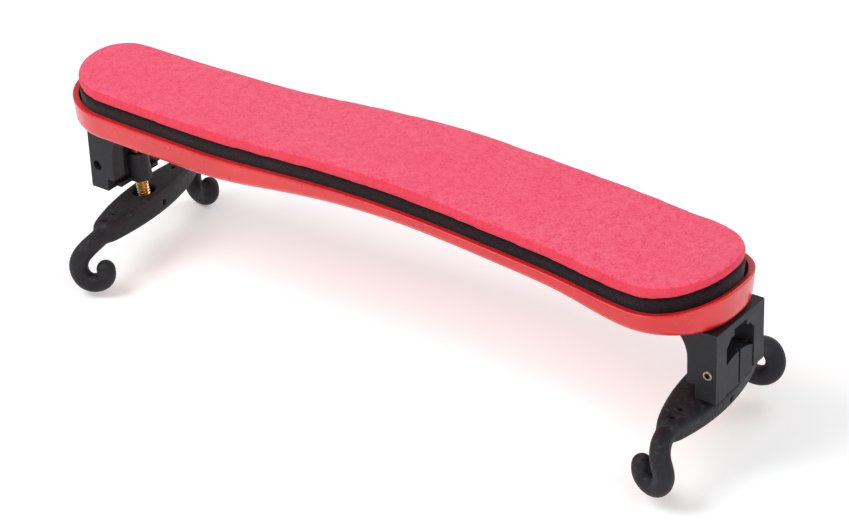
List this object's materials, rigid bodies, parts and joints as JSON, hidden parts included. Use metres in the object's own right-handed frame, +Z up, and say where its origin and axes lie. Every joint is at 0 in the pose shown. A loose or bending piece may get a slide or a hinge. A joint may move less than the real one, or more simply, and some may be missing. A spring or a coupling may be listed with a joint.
{
  "type": "violin shoulder rest",
  "caption": "Bowed padded violin shoulder rest: foam-cored tray with a bracket, fold-down swivel block, threaded height stem and two-hook rubber foot at each end.",
  "frame": {"origin": "on the plane the hooks stand on, below the middle of the tray", "axes": "+X along the rest towards its wide end, +Y towards its rear side, +Z up through the pad"},
  "size_m": [0.2091, 0.0631, 0.0583],
  "materials": {
    "shell": "smooth satin moulded red plastic",
    "foam": "black closed-cell foam",
    "pad": "fine matt coral-pink fabric on soft foam",
    "frame_plastic": "fine textured black nylon",
    "rubber": "soft matt black rubber",
    "steel": "plated steel",
    "brass": "machined brass"
  },
  "bodies": {
    "base": {"body_shell": "shell", "foam_core": "foam", "top_pad": "pad", "left_bracket": "frame_plastic", "left_bracket_screws": "steel", "left_pivot_screw": "steel", "right_bracket": "frame_plastic", "right_bracket_screws": "steel", "right_pivot_screw": "steel"},
    "left_swivel": {"left_swivel_block": "frame_plastic", "left_nut_insert": "brass"},
    "left_turner": {"left_brake_ring": "rubber"},
    "left_post": {"left_stem": "brass"},
    "left_foot": {"left_foot_core": "frame_plastic", "left_cross_pin": "brass", "left_front_hook_sleeve": "rubber", "left_rear_hook_sleeve": "rubber"},
    "right_swivel": {"right_swivel_block": "frame_plastic", "right_nut_insert": "brass"},
    "right_turner": {"right_brake_ring": "rubber"},
    "right_post": {"right_stem": "brass"},
    "right_foot": {"right_foot_core": "frame_plastic", "right_cross_pin": "brass", "right_front_hook_sleeve": "rubber", "right_rear_hook_sleeve": "rubber"}
  },
  "joints": [
    {"name": "left_fold", "type": "hinge", "parent": "base", "child": "left_swivel", "pos_m": [-0.0921, 0, 0.0287], "axis": [0, -1, 0], "range_deg": [0, 75]},
    {"name": "left_turn", "type": "hinge", "parent": "left_swivel", "child": "left_turner", "pos_m": [-0.0877, 0, 0.0287], "axis": [-0.1305, 0, 0.9914], "range_deg": [-2160, 1260]},
    {"name": "left_height", "type": "slide", "parent": "left_turner", "child": "left_post", "axis": [-0.1305, 0, 0.9914], "range_m": [-0.00481, 0.00281]},
    {"name": "left_rock", "type": "hinge", "parent": "left_post", "child": "left_foot", "pos_m": [-0.08586, 0, 0.01472], "axis": [-0.9811, -0.1444, -0.1292], "range_deg": [-4, 4]},
    {"name": "right_fold", "type": "hinge", "parent": "base", "child": "right_swivel", "pos_m": [0.1019, 0, 0.0287], "axis": [0, 1, 0], "range_deg": [0, 75]},
    {"name": "right_turn", "type": "hinge", "parent": "right_swivel", "child": "right_turner", "pos_m": [0.0975, 0, 0.0287], "axis": [0.1305, 0, 0.9914], "range_deg": [-3240, 180]},
    {"name": "right_height", "type": "slide", "parent": "right_turner", "child": "right_post", "axis": [0.1305, 0, 0.9914], "range_m": [-0.00721, 0.00041]},
    {"name": "right_rock", "type": "hinge", "parent": "right_post", "child": "right_foot", "pos_m": [0.09601, 0, 0.0174], "axis": [0.9896, 0.061, -0.1303], "range_deg": [-4, 4]}
  ],
  "couplings": [
    {"joint": "left_height", "follows": "left_turn", "m_per_rad": 0.00012732},
    {"joint": "right_height", "follows": "right_turn", "m_per_rad": 0.00012732}
  ]
}
